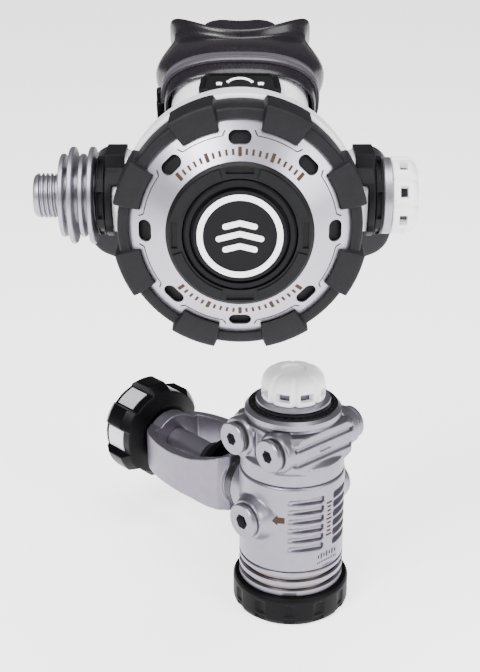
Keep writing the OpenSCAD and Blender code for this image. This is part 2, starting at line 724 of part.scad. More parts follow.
// Open frame around the cylinder valve; its long axis runs along -X.
yoke_near = -28.1;
yoke_wall = 4.4;
yoke_far = -84;
yoke_end = 10;
function half_width(t) = yoke_end + (yoke_w / 2 - yoke_end) * pow(sin(180 * t), 0.5);
function yoke_side(inset) = [for (i = [0 : 16]) let (t = i / 16)
    [yoke_near - 0.01 + (yoke_far - yoke_near) * t, half_width(t) - inset]];
module yoke_outline(inset) {
    side = yoke_side(inset);
    polygon(concat(side, [for (i = [16 : -1 : 0]) [side[i][0], -side[i][1]]]));
}
module yoke() {
    color("#8e9096") first_stage() difference() {
        union() {
            // Side walls, taller towards the collar.
            intersection() {
                translate([0, 0, yoke_z - 15]) linear_extrude(30) yoke_outline(0);
                translate([0, 30, yoke_z]) rotate([90, 0, 0]) linear_extrude(60)
                    polygon([[yoke_far, -8.8], [-58, -8.8], [-44, -10], [-36, -12],
                             [yoke_near, -13.6], [yoke_near, 13.6], [-36, 11.4], [-44, 9.6],
                             [-58, 8.8], [yoke_far, 8.8]]);
            }
            along_x(yoke_near - yoke_wall, 0, yoke_z) cylinder(r1 = 12.8, r2 = 14, h = yoke_wall);
            along_x(yoke_far, 0, yoke_z) cylinder(r = 12.6, h = 9);
        }
        translate([0, 0, yoke_z - 20]) linear_extrude(40) intersection() {
            yoke_outline(4.2);
            translate([-77, -30]) square([77 + yoke_near - yoke_wall, 60]);
        }
        along_x(-40, 0, yoke_z) cylinder(r = 8.2 + fit, h = 14);
        along_x(-90, 0, yoke_z) cylinder(r = 6.05, h = 20);
    }
}

pad_x = -48.3;
module yoke_screw() {
    color("#9b9da2") first_stage() along_x(-98, 0, yoke_z) bevelled(6, 98 + pad_x - 4.6, 0.8);
}

module screw_pad() {
    color("#6f7176") first_stage() along_x(pad_x - 4.6, 0, yoke_z)
        rotate_extrude() polygon([[0, 0.02], [7, 0.02], [7.6, 0.8], [7.6, 3], [4, 4.6], [0, 4.6]]);
}

knob_x = -106;
knob_h = 21;
module handwheel() {
    color("#1b1b1e") first_stage() along_x(knob_x, 0, yoke_z) difference() {
        intersection() {
            rotate_extrude() polygon([[0, 0], [17, 0], [21.6, 1.6], [knob_r, 5], [knob_r, 14.5],
                [21, 18.4], [14, knob_h], [0, knob_h]]);
            union() {
                cylinder(r = 20.4, h = knob_h);
                for (i = [0 : 5]) rotate([0, 0, 60 * i]) linear_extrude(knob_h)
                    polygon([[10, -6.2], [25, -4.6], [25, 4.6], [10, 6.2]]);
            }
        }
        translate([0, 0, 7.95]) cylinder(r = 6.02, h = 20);
        knob_panels(22, 17.4, 14.2, 3.2, 10.8);
    }
}

// Six curved panels between the knob's prongs; half is half their width in degrees.
module knob_panels(r_out, r_in, half, low, h) {
    for (i = [0 : 5]) rotate([0, 0, 60 * i + 30]) intersection() {
        translate([0, 0, low]) tube(r_out, r_in, h);
        translate([0, 0, low - 1]) wedge(24, -half, half, h + 2);
    }
}

module handwheel_inserts() {
    color("silver") first_stage() along_x(knob_x, 0, yoke_z)
        knob_panels(20.6, 17.45, 14, 3.25, 10.7);
}

// Dust cap that is clamped between the screw and the seat.
module dust_cap() {
    color("#202023") first_stage() union() {
        along_x(seat_x - 3.2, 0, yoke_z) bevelled(7.8, 2.95, 0.5);
        along_x(pad_x + 0.3, 0, yoke_z) rotate_extrude() polygon([[0, 0], [6, 0], [9, 1.8],
            [12.4, 3.4], [12.4, 6.2], [7.8, 7.2], [7.8, 10.7], [0, 10.7]]);
    }
}

// ---------------------------------------------------------------- every sub-part

case();
front_ring();
cover_plate();
purge_housing();
purge_button();
purge_trim_ring();
purge_emblem();
purge_spring();
diaphragm();
diaphragm_plate();
diaphragm_clamp_ring();
demand_lever();
valve_tube();
inlet_orifice();
poppet();
poppet_spring();
inlet_stub();
heat_exchanger();
left_collar();
right_collar();
left_arm_clip();
right_arm_clip();
end_ring();
end_cap();
exhaust_valve();
exhaust_tee();
mouthpiece();
mouthpiece_clamp();
flow_vane();
neck_badge();
first_body();
spring_housing();
end_cover();
spring_adjuster();
environmental_diaphragm();
main_spring();
main_diaphragm();
load_transmitter();
valve_lifter();
seat_insert();
main_poppet();
main_poppet_spring();
balance_plug();
high_port_plugs();
turret_bolt();
turret();
low_port_plugs();
port_o_rings();
turret_top_ring();
cap_flange();
top_cap();
yoke_retainer();
yoke_collar();
inlet_filter();
yoke();
yoke_screw();
screw_pad();
handwheel();
handwheel_inserts();
dust_cap();
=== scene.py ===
"""Looks of a two-stage scuba regulator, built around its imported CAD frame."""
import json
import math

import bmesh
import bpy
from mathutils import Matrix, Vector


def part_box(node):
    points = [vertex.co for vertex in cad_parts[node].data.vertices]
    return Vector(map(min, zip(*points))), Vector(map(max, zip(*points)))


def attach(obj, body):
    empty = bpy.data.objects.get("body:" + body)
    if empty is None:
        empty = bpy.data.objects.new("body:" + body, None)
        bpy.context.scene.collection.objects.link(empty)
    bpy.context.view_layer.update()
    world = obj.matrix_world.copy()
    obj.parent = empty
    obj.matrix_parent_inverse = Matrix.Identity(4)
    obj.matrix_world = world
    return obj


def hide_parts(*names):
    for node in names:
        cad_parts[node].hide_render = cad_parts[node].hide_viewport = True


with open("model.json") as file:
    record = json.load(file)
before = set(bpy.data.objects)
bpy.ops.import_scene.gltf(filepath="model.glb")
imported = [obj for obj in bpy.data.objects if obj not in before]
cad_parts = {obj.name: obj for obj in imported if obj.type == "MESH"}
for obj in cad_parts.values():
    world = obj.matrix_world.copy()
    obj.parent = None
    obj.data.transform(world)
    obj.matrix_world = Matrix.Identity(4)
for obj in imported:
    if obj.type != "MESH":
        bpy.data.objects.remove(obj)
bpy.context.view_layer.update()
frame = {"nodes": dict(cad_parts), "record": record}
MM = 0.001
NODES = frame["nodes"]
SEAT = next(m for m in frame["record"]["mounts"] if m["name"] == "yoke_seat")

# ------------------------------------------------------------------ places, from the frame


def box_of(node):
    """Lowest corner, middle and highest corner of a CAD node's box."""
    low, high = (Vector(corner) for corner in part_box(node))
    return low, (low + high) / 2, high


def rim_middle():
    """Middle of the cover plate's rim, in front of its flange."""
    flange = 1.5 * MM
    _, middle, high = box_of("cover_plate")
    return Vector((middle.x, high.y - flange, middle.z))


def base_middle():
    """Middle of the first stage's base, the underside of its rubber end cover."""
    low, middle, _ = box_of("end_cover")
    return Vector((middle.x, middle.y, low.z))


RING = rim_middle()
BARREL = base_middle()
YAW = math.atan2(-SEAT["axis"][1], -SEAT["axis"][0])

# Second stage's frame, in millimetres: x right, y away from the camera, z up.
SECOND = Matrix.Translation(RING) @ Matrix.Scale(MM, 4)
# First stage's frame, in millimetres: x away from the yoke, y across it, z up.
FIRST = Matrix.Translation(BARREL) @ Matrix.Rotation(YAW, 4, "Z") @ Matrix.Scale(MM, 4)
# Ring frame: z towards the back, so a lathe's heights run backwards from the plate's rim.
FACE = SECOND @ Matrix.Rotation(-math.pi / 2, 4, "X")
# Valve tube's frame: z runs along the tube to the right, away from the hose inlet.
VALVE_PLACE = (0, 22, 4)
VALVE = SECOND @ Matrix.Translation(VALVE_PLACE) @ Matrix.Rotation(math.pi / 2, 4, "Y")
# Neck's frame: z runs back and up to the mouth, and -y faces up.
NECK_PLACE = (0, 20, 14.6)
NECK_TILT = math.radians(30)
NECK = SECOND @ Matrix.Translation(NECK_PLACE) @ Matrix.Rotation(NECK_TILT - math.pi / 2, 4, "X")

# ------------------------------------------------------------------ materials


def new_material(name, colour, roughness, metallic=0.0):
    material = bpy.data.materials.new(name)
    material.use_nodes = True
    shader = material.node_tree.nodes["Principled BSDF"]
    shader.inputs["Base Color"].default_value = (*colour, 1)
    shader.inputs["Roughness"].default_value = roughness
    shader.inputs["Metallic"].default_value = metallic
    return material, material.node_tree, shader


def noise(tree, scale, detail=3.0):
    """Noise in the object's own metres; scale is features per millimetre."""
    place = tree.nodes.new("ShaderNodeTexCoord")
    texture = tree.nodes.new("ShaderNodeTexNoise")
    texture.inputs["Scale"].default_value = scale / MM
    texture.inputs["Detail"].default_value = detail
    texture.inputs["Roughness"].default_value = 0.55
    tree.links.new(place.outputs["Object"], texture.inputs["Vector"])
    return texture.outputs["Fac"]


def ramp(tree, value, low, high):
    """Maps the middle of a noise's range to low..high, which are colours or numbers."""
    node = tree.nodes.new("ShaderNodeValToRGB")
    for element, place, tone in zip(node.color_ramp.elements, (0.3, 0.7), (low, high)):
        colour = tone if isinstance(tone, tuple) else (tone, tone, tone)
        element.position = place
        element.color = (*colour, 1)
    tree.links.new(value, node.inputs["Fac"])
    return node.outputs["Color"]


def add_bump(tree, shader, height, distance, strength):
    """Relief from a height between 0 and 1; distance is in millimetres."""
    bump = tree.nodes.new("ShaderNodeBump")
    bump.inputs["Distance"].default_value = distance * MM
    bump.inputs["Strength"].default_value = strength
    tree.links.new(height, bump.inputs["Height"])
    tree.links.new(bump.outputs["Normal"], shader.inputs["Normal"])


def shade(tone, spread):
    """A darker and a lighter version of a tone."""
    return tuple(c * (1 - spread) for c in tone), tuple(c * (1 + spread) for c in tone)


def surface(name, tone, rough, metallic=0.0, spread=0.08, blotch=0.25, grain=3.0, depth=0.02,
            strength=0.5, coat=0.0, specular=0.5):
    """One finish: soft blotches in the colour, uneven gloss and a fine grain in the relief.

    rough is the range of roughness and spread the share by which the tone varies; blotch and grain
    are features per millimetre, and depth is the relief in millimetres.
    """
    material, tree, shader = new_material(name, tone, rough[0], metallic)
    broad = noise(tree, blotch)
    tree.links.new(ramp(tree, broad, *shade(tone, spread)), shader.inputs["Base Color"])
    fine = noise(tree, grain, 4.0)
    tree.links.new(ramp(tree, fine, *rough), shader.inputs["Roughness"])
    add_bump(tree, shader, fine, depth, strength)
    shader.inputs["Specular IOR Level"].default_value = specular
    if coat:
        shader.inputs["Coat Weight"].default_value = coat
        shader.inputs["Coat Roughness"].default_value = 0.12
    return material


WHITE = surface("white_polymer", (0.76, 0.75, 0.79), (0.24, 0.36), spread=0.015, grain=2.2,
                depth=0.012, strength=0.3)
CAP_WHITE = surface("cap_polymer", (0.84, 0.84, 0.86), (0.3, 0.42), spread=0.015, grain=2.2,
                    depth=0.012, strength=0.3)
INLAY_WHITE = surface("inlay_white", (0.9, 0.89, 0.91), (0.45, 0.55), spread=0.01, grain=6,
                      depth=0.008, strength=0.3)
RUBBER = surface("bumper_rubber", (0.0062, 0.0057, 0.0074), (0.46, 0.64), spread=0.16, grain=3.4,
                 depth=0.06, strength=0.85, specular=0.17)
COVER_RUBBER = surface("cover_rubber", (0.0022, 0.0020, 0.0026), (0.44, 0.6), spread=0.15,
                       grain=3.0, depth=0.04, strength=0.6, specular=0.09)
PURGE_RUBBER = surface("purge_rubber", (0.0035, 0.0035, 0.0042), (0.34, 0.5), spread=0.15,
                       grain=2.6, depth=0.03, strength=0.6, specular=0.15)
DISC_RUBBER = surface("disc_rubber", (0.0040, 0.0038, 0.0048), (0.5, 0.62), spread=0.1,
                      grain=4.0, depth=0.02, strength=0.5, specular=0.12)
BLACK = surface("black_nylon", (0.0036, 0.0033, 0.0042), (0.42, 0.58), spread=0.15, grain=2.5,
                depth=0.03, strength=0.6, specular=0.12)
TEE_BLACK = surface("tee_rubber", (0.0075, 0.0062, 0.0085), (0.3, 0.46), spread=0.12, grain=2.2,
                    depth=0.02, strength=0.4, specular=0.22)
KNOB_BLACK = surface("knob_rubber", (0.0018, 0.0016, 0.0022), (0.28, 0.42), spread=0.15, grain=2.4,
                     depth=0.03, strength=0.5, specular=0.1)
SILICONE = surface("mouth_silicone", (0.0085, 0.0072, 0.0095), (0.22, 0.36), spread=0.12,
                   grain=1.2, depth=0.02, strength=0.25, coat=0.12, specular=0.25)
STRAP = surface("strap_nylon", (0.050, 0.045, 0.056), (0.26, 0.4), spread=0.06, grain=3.0,
                depth=0.015, strength=0.3)
GREY_SILICONE = surface("grey_silicone", (0.24, 0.25, 0.27), (0.35, 0.5), spread=0.06, grain=2.0,
                        depth=0.02)
PLATE_METAL = surface("pearl_plate", (0.37, 0.352, 0.405), (0.30, 0.42), metallic=0.85,
                      spread=0.03, grain=7.0, depth=0.006, strength=0.4)
PEARL = surface("pearl_chrome", (0.29, 0.277, 0.315), (0.32, 0.46), metallic=0.9, spread=0.04,
                grain=6.0, depth=0.008, strength=0.4)
BODY_PEARL = surface("pearl_body", (0.225, 0.212, 0.248), (0.30, 0.44), metallic=0.9,
                     spread=0.04, grain=6.0, depth=0.008, strength=0.4)
PANEL_PEARL = surface("panel_pearl", (0.62, 0.60, 0.65), (0.34, 0.46), metallic=0.4,
                      spread=0.02, grain=6.0, depth=0.006, strength=0.3)
YOKE_METAL = surface("yoke_chrome", (0.20, 0.186, 0.222), (0.34, 0.48), metallic=0.9,
                     spread=0.05, grain=5.0, depth=0.012, strength=0.4)
DARK_METAL = surface("dark_chrome", (0.06, 0.06, 0.068), (0.2, 0.36), metallic=0.9, spread=0.08,
                     grain=5.0, depth=0.008, strength=0.4)
POLISHED = surface("polished_band", (0.13, 0.11, 0.105), (0.08, 0.18), metallic=1.0, spread=0.15,
                   blotch=0.12, grain=5.0, depth=0.004, strength=0.3)
SPRING = surface("spring_steel", (0.55, 0.55, 0.57), (0.18, 0.3), metallic=1.0, grain=5.0,
                 depth=0.01)
BRASS = surface("machined_brass", (0.62, 0.44, 0.17), (0.2, 0.34), metallic=1.0, grain=4.0,
                depth=0.01)
BRONZE = surface("sintered_bronze", (0.32, 0.22, 0.10), (0.5, 0.8), metallic=0.8, spread=0.3,
                 blotch=2.0, grain=5.0, depth=0.1, strength=1.0)
SEAL = surface("seal_rubber", (0.012, 0.012, 0.013), (0.3, 0.45), grain=3.0, depth=0.01)
BROWN_MARK = surface("laser_mark", (0.040, 0.022, 0.013), (0.5, 0.65), spread=0.2, blotch=1.5,
                     grain=5.0, depth=0.01, specular=0.15)
DARK_MARK = surface("dark_mark", (0.014, 0.011, 0.013), (0.5, 0.65), spread=0.2, grain=5.0,
                    depth=0.01, specular=0.15)

# ------------------------------------------------------------------ mesh helpers


def link(name, mesh, material, smooth_angle=35.0):
    """An object in the scene with one material and its edges shaded."""
    obj = bpy.data.objects.new(name, mesh)
    bpy.context.scene.collection.objects.link(obj)
    obj.data.materials.clear()
    obj.data.materials.append(material)
    shade_by_angle(obj.data, smooth_angle)
    return obj


def shade_by_angle(mesh, angle):
    """Smooth faces, with edges sharper than angle left hard."""
    work = bmesh.new()
    work.from_mesh(mesh)
    limit = math.radians(angle)
    for edge in work.edges:
        edge.smooth = len(edge.link_faces) != 2 or edge.calc_face_angle(0) < limit
    for face in work.faces:
        face.smooth = True
    work.to_mesh(mesh)
    work.free()


def mesh_from(name, points, faces, matrix):
    """A clean mesh from points in a local frame."""
    mesh = bpy.data.meshes.new(name)
    mesh.from_pydata([matrix @ Vector(p) for p in points], [], faces)
    work = bmesh.new()
    work.from_mesh(mesh)
    bmesh.ops.remove_doubles(work, verts=work.verts, dist=1e-7)
    bmesh.ops.recalc_face_normals(work, faces=work.faces)
    work.to_mesh(mesh)
    work.free()
    return mesh


def skin(rings, closed_rings=True, loop=False):
    """Points and faces of a skin over equal rings; a loop's last ring meets its first."""
    count = len(rings[0])
    points = [p for ring in rings for p in ring]
    faces = []
    last = len(rings) if loop else len(rings) - 1
    for i in range(last):
        a, b = i * count, (i + 1) % len(rings) * count
        for j in range(count if closed_rings else count - 1):
            k = (j + 1) % count
            faces.append((a + j, b + j, b + k, a + k))
    if not loop:
        faces.append(tuple(range(count)))
        faces.append(tuple(reversed(range(last * count, (last + 1) * count))))
    return points, faces


def lathe(name, profile, matrix, material):
    """Turns a closed (radius, height) profile about z."""
    steps = 144
    rings = []
    for i in range(steps):
        a = 2 * math.pi * i / steps
        rings.append([(r * math.cos(a), r * math.sin(a), h) for r, h in profile])
    points, faces = skin(rings, loop=True)
    return link(name, mesh_from(name, points, faces, matrix), material)


def rounded_profile(corners, radius, steps=3):
    """Rounds each corner of a closed profile with a short arc; radius is one number or a list."""
    out = []
    count = len(corners)
    for i, corner in enumerate(corners):
        r = radius[i] if isinstance(radius, list) else radius
        p = Vector(corner)
        before, after = Vector(corners[i - 1]) - p, Vector(corners[(i + 1) % count]) - p
        reach = min(r, before.length * 0.45, after.length * 0.45)
        a, b = p + before.normalized() * reach, p + after.normalized() * reach
        for k in range(steps + 1):
            t = k / steps
            out.append(tuple(a * (1 - t) ** 2 + p * 2 * t * (1 - t) + b * t * t))
    return out


def evaluated(obj, name):
    """A new mesh with the object's modifiers applied; the object is removed."""
    graph = bpy.context.evaluated_depsgraph_get()
    mesh = bpy.data.meshes.new_from_object(obj.evaluated_get(graph))
    mesh.name = name
    bpy.data.objects.remove(obj)
    return mesh


def welded_copy(node, name):
    """A new object with a CAD node's mesh, its doubled points joined."""
    mesh = NODES[node].data.copy()
    work = bmesh.new()
    work.from_mesh(mesh)
    bmesh.ops.remove_doubles(work, verts=work.verts, dist=2e-6)
    work.to_mesh(mesh)
    work.free()
    obj = bpy.data.objects.new(name, mesh)
    bpy.context.scene.collection.objects.link(obj)
    return obj


def soften(obj, voxel, passes):
    """Rebuilds a solid as an even skin and rounds its edges, as moulding or casting does."""
    remesh = obj.modifiers.new("skin", "REMESH")
    remesh.mode = "VOXEL"
    remesh.voxel_size = voxel * MM
    smooth = obj.modifiers.new("round", "SMOOTH")
    smooth.factor = 0.5
    smooth.iterations = passes


def cast(node, voxel, passes, material, body):
    """A smooth cast or moulded piece in place of a CAD node of the same shape."""
    name = node + "_cast"
    obj = welded_copy(node, name)
    soften(obj, voxel, passes)
    mesh = evaluated(obj, name)
    mesh.materials.clear()
    piece = link(name, mesh, material, 60.0)
    return finish_piece(piece, body, node)


def finish_piece(piece, body, node=None):
    """Says which body a piece rides on, and hides the CAD node that it replaces, if one is given.
    """
    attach(piece, body)
    if node:
        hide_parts(node)
    return piece


def ellipse_ring(a, b, height, count, power, bend=0.0):
    """Superellipse in x and y at a height; bend lifts it by that much at 25 mm from the middle."""
    ring = []
    for j in range(count):
        t = 2 * math.pi * j / count
        c, s = math.cos(t), math.sin(t)
        x = a * math.copysign(abs(c) ** (2 / power), c)
        y = b * math.copysign(abs(s) ** (2 / power), s)
        ring.append((x, y, height + bend * (x / 25) ** 2))
    return ring


def subdivided(obj):
    """The same piece with one level of subdivision applied."""
    modifier = obj.modifiers.new("fine", "SUBSURF")
    modifier.levels = 1
    modifier.render_levels = 1
    name, material = obj.name, obj.data.materials[0]
    mesh = evaluated(obj, name)
    mesh.materials.clear()
    return link(name, mesh, material, 50.0)


def smoothstep(t):
    """0 up to t = 0 and 1 from t = 1, with an even slope between."""
    t = min(max(t, 0.0), 1.0)
    return t * t * (3 - 2 * t)


# ------------------------------------------------------------------ second stage: front


PLATE_SLOTS = 8
PLATE_RIM = 34.2
PLATE_CONE = math.radians(28)
MARK_LIFT = 0.03


def bumper_ring():
    """Rubber ring with eight raised lugs, as one skin swept round the axis."""
    pitch = 360 / PLATE_SLOTS
    half, ramp_width = 10.3, 1.3
    base = rounded_profile([(34.25, -1.2), (37.7, -1.2), (37.7, 12.9), (34.25, 12.9)],
                           [0.3, 1.3, 0.8, 0.2], 4)
    raised = rounded_profile([(31.2, -2.7), (39.5, -2.7), (39.5, 12.6), (34.25, 12.9)],
                             [0.7, 1.5, 1.0, 0.2], 4)
    rings = []
    steps = 1440
    for i in range(steps):
        degrees = 360 * i / steps
        off = abs(degrees % pitch - pitch / 2)
        # The chamfered ends of a lug run over a short arc.
        t = smoothstep((half + ramp_width - off) / ramp_width)
        a = math.radians(degrees)
        ring = []
        for (r0, h0), (r1, h1) in zip(base, raised):
            r, h = r0 + (r1 - r0) * t, h0 + (h1 - h0) * t
            ring.append((r * math.cos(a), r * math.sin(a), h))
        rings.append(ring)
    points, faces = skin(rings, loop=True)
    ring = link("bumper_ring", mesh_from("bumper_ring", points, faces, FACE), RUBBER, 40.0)
    return finish_piece(ring, "second_stage", "front_ring")


def on_plate(radius, angle):
    """A point just off the cover plate's cone; angle in degrees clockwise from the top."""
    a = math.radians(angle)
    height = -(PLATE_RIM - radius) * math.tan(PLATE_CONE) - MARK_LIFT
    return (radius * math.sin(a), -radius * math.cos(a), height)


def strip(path, width, height):
    """A thin raised strip through points on the face, as points and faces."""
    rings = []
    for i, p in enumerate(path):
        a = Vector(path[max(i - 1, 0)])
        b = Vector(path[min(i + 1, len(path) - 1)])
        along = (b - a).normalized()
        side = along.cross(Vector((0, 0, 1))).normalized() * width / 2
        p = Vector(p)
        rings.append([p + side, p + side + Vector((0, 0, -height)),
                      p - side + Vector((0, 0, -height)), p - side])
    return skin(rings)


def join_parts(parts):
    """Several pairs of points and faces as one pair."""
    points, faces = [], []
    for some_points, some_faces in parts:
        start = len(points)
        points += list(some_points)
        faces += [tuple(v + start for v in f) for f in some_faces]
    return points, faces


def plate_lines():
    """Thin engraved brackets on the cover plate, one between each two slots."""
    half, steps = 13.4, 14
    arc_half = half - 1.2
    parts = []
    for i in range(PLATE_SLOTS):
        middle = (i + 0.5) * 360 / PLATE_SLOTS
        path = [on_plate(31.2, middle - half - 0.9), on_plate(30.0, middle - half + 0.6)]
        path += [on_plate(29.7, middle + arc_half * (2 * k / steps - 1)) for k in range(steps + 1)]
        path += [on_plate(30.0, middle + half - 0.6), on_plate(31.2, middle + half + 0.9)]
        parts.append(strip(path, 0.42, 0.02))
    points, faces = join_parts(parts)
    lines = link("plate_lines", mesh_from("plate_lines", points, faces, FACE), DARK_MARK)
    finish_piece(lines, "second_stage")


def plate_ticks():
    """Generic tick scales at the cover plate's top and bottom, every fifth tick a long one."""
    spacing, ticks_each_side = 4.6, 10
    parts = []
    for middle in (0, 180):
        for k in range(-ticks_each_side, ticks_each_side + 1):
            angle = middle + spacing * k
            inner, outer, width = (24.3, 26.0, 0.75) if k % 5 else (23.9, 26.5, 1.15)
            path = [on_plate(radius, angle) for radius in (inner, (inner + outer) / 2, outer)]
            parts.append(strip(path, width, 0.03))
    points, faces = join_parts(parts)
    ticks = link("plate_ticks", mesh_from("plate_ticks", points, faces, FACE), BROWN_MARK)
    finish_piece(ticks, "second_stage")


# ------------------------------------------------------------------ second stage: back


def mouthpiece():
    """Silicone mouthpiece: sleeve, bulging body, smile-shaped lip flange, bite bridge and tabs."""
    # half width, half height, distance along the neck, bend at the sides, superellipse power
    sections = [
        (23.0, 14.9, 24.2, 0, 2.6), (24.6, 16.6, 24.2, 0, 2.6), (24.9, 16.9, 25.0, 0, 2.6),
        (24.9, 16.9, 35.4, 0, 2.6), (26.6, 17.2, 36.8, 0, 2.4), (28.4, 16.4, 39.8, 0.5, 2.2),
        (28.5, 14.8, 43.2, 2.0, 2.2), (26.9, 12.6, 46.2, 5.0, 2.2), (23.8, 10.2, 48.2, 8.0, 2.4),
        (22.3, 9.4, 49.6, 10.2, 2.7), (23.4, 10.8, 50.6, 11.8, 3.2), (24.4, 11.7, 51.5, 12.8, 3.4),
        (24.2, 11.5, 52.8, 13.4, 3.4), (21.0, 8.6, 53.5, 13.4, 3.2), (15.4, 6.4, 54.2, 8.0, 3.0),
        (14.8, 6.2, 56.0, 4.0, 3.2), (13.7, 5.9, 62.0, 1.5, 3.4), (12.7, 5.3, 65.6, 0.8, 3.4),
        (11.5, 4.3, 66.4, 0.6, 3.4), (10.6, 3.3, 64.5, 0.4, 3.0), (10.0, 3.2, 52.0, 0, 3.0),
        (16.0, 8.6, 44.0, 0, 2.6), (21.6, 13.6, 38.5, 0, 2.6), (22.95, 14.85, 37.6, 0, 2.6)]
    rings = [ellipse_ring(a, b, d, 72, power, bend) for a, b, d, bend, power in sections]
    points, faces = skin(rings, loop=True)
    obj = link("mouthpiece_soft", mesh_from("mouthpiece_soft", points, faces, NECK), SILICONE)
    dent_mouthpiece(obj)
    return finish_piece(subdivided(obj), "second_stage", "mouthpiece")


def dent_mouthpiece(obj):
    """Hollows on both flanks of the mouthpiece, and between its two bite tabs."""
    flank_depth, tab_depth = 2.2, 1.8
    inverse = NECK.inverted()
    for vertex in obj.data.vertices:
        p = inverse @ vertex.co
        flank = 1 - ((abs(p.x) - 25) / 5) ** 2 - ((p.z - 49) / 7) ** 2 - ((p.y + 5) / 8) ** 2
        tab = 1 - (p.x / 9) ** 2 - ((p.z - 62) / 5) ** 2
        p.x -= math.copysign(flank_depth * max(0.0, flank), p.x)
        if abs(p.y) > 4:
            p.y -= math.copysign(tab_depth * max(0.0, tab), p.y)
        vertex.co = NECK @ p


def clamp_strap():
    """Two-ridged nylon strap round the mouthpiece sleeve, with its buckle at the left."""
    half_width, half_height = 25.0, 17.0
    # thickness over the sleeve, distance along the neck
    profile = [(0, 29.2), (1.0, 29.2), (1.2, 29.6), (1.2, 30.3), (0.75, 30.6), (0.75, 31.6),
               (1.2, 31.9), (1.2, 32.7), (1.0, 33.1), (0, 33.1)]
    rings = [ellipse_ring(half_width + thick, half_height + thick, d, 160, 2.6)
             for thick, d in profile]
    points, faces = skin(rings, loop=True)
    strap = link("clamp_strap", mesh_from("clamp_strap", points, faces, NECK), STRAP, 40.0)
    finish_piece(strap, "second_stage", "mouthpiece_clamp")
    buckle = neck_block("strap_buckle", (-26.3, 4.2, 31.1), (2.8, 7.6, 4.8), 0.8)
    finish_piece(buckle, "second_stage")
    tail = neck_block("strap_tail", (-26.6, -1.4, 31.1), (1.8, 4.6, 3.0), 0.5)
    finish_piece(tail, "second_stage")


def neck_block(name, centre, size, radius):
    """A black block with rounded edges, in the neck's frame."""
    work = bmesh.new()
    bmesh.ops.create_cube(work, size=1.0)
    bmesh.ops.scale(work, vec=size, verts=work.verts)
    bmesh.ops.bevel(work, geom=work.edges[:], offset=radius, segments=3, profile=0.5,
                    affect="EDGES")
    bmesh.ops.translate(work, vec=centre, verts=work.verts)
    bmesh.ops.transform(work, matrix=NECK, verts=work.verts)
    mesh = bpy.data.meshes.new(name)
    work.to_mesh(mesh)
    work.free()
    return link(name, mesh, BLACK, 40.0)


BADGE_BASE = 14.4
BADGE_MIDDLE = 20.0
BADGE_CROWN = 0.0065


def badge_point(x, height, along):
    """A point over the badge's base, which curves down to both sides."""
    return (x, BADGE_CROWN * x ** 2 - BADGE_BASE - height, along)


def badge_ring(outline, inset, height):
    """The badge's outline drawn in towards its middle, at a height."""
    ring = []
    for x, along in outline:
        reach = Vector((x, along - BADGE_MIDDLE))
        reach *= 1 - inset / reach.length
        ring.append(badge_point(reach.x, height, reach.y + BADGE_MIDDLE))
    return ring


def neck_plate():
    """Rounded plate with a raised rim on top of the neck."""
    corners = [(-13.4, 15.9), (13.4, 15.9), (12.2, 24.0), (-12.2, 24.0)]
    outline = rounded_profile(corners, 2.6, 6)
    levels = [(0, -1.0), (0, 2.6), (0.35, 3.1), (1.2, 3.3), (1.7, 3.0), (2.0, 2.5), (6.0, 2.45),
              (7.0, 2.45)]
    points, faces = skin([badge_ring(outline, inset, height) for inset, height in levels])
    plate = link("neck_plate", mesh_from("neck_plate", points, faces, NECK), BLACK)
    finish_piece(plate, "second_stage", "neck_badge")


def neck_sign():
    """A generic gauge sign on the neck's plate: an arc between two dots."""
    top, half_angle, steps = 2.62, 62, 12
    arc = []
    for k in range(steps + 1):
        a = math.radians(half_angle * (2 * k / steps - 1))
        arc.append(badge_point(4.6 * math.sin(a), top, 17.9 + 3.6 * math.cos(a)))
    parts = [flat_strip(arc, 0.9)]
    dot_y = -(BADGE_BASE + top)
    for x in (-6.6, 6.6):
        dot = [(x - 0.9, dot_y + 0.3, 19.2), (x, dot_y + 0.28, 19.3), (x + 0.9, dot_y + 0.3, 19.2)]
        parts.append(flat_strip(dot, 1.3))
    points, faces = join_parts(parts)
    sign = link("neck_sign", mesh_from("neck_sign", points, faces, NECK), INLAY_WHITE)
    finish_piece(sign, "second_stage")


def flat_strip(path, width):
    """A strip in the neck's top surface, through points, as points and faces."""
    rings = []
    for i, p in enumerate(path):
        a, b = Vector(path[max(i - 1, 0)]), Vector(path[min(i + 1, len(path) - 1)])
        side = (b - a).normalized().cross(Vector((0, 1, 0))).normalized() * width / 2
        p = Vector(p)
        low = Vector((0, 0.12, 0))
        rings.append([p + side, p + side + low, p - side + low, p - side])
    return skin(rings)


# ------------------------------------------------------------------ second stage: sides


def threaded_stub():
    """Hose inlet with a real 9/16-18 helical thread."""
    pitch, crest, root, chamfer, bore = 1.411, 7.14, 6.3, 6.6, 4.2
    end, thread_start, shoulder = -65.6, -65.0, -57.2
    turns, steps = 4, 96
    # share of a pitch, radius
    shape = [(0.00, crest), (0.12, crest), (0.42, root), (0.58, root), (0.88, crest)]
    rings = []
    for i in range(steps):
        a = 2 * math.pi * i / steps
        ring = [(bore, end), (6.2, end), (chamfer, -65.3)]
        for turn in range(turns):
            base = thread_start + pitch * (turn + i / steps)
            for share, r in shape:
                height = base + share * pitch
                # The first thread starts at the chamfer's radius.
                r_out = r if height > thread_start + 0.2 else min(r, chamfer)
                ring.append((r_out, height))
        ring += [(6.4, -58.6), (6.4, shoulder), (bore, shoulder)]
        rings.append([(r * math.cos(a), r * math.sin(a), h) for r, h in ring])
    points, faces = skin(rings, loop=True)
    stub = link("threaded_stub", mesh_from("threaded_stub", points, faces, VALVE), PEARL, 28.0)
    return finish_piece(stub, "second_stage", "inlet_stub")


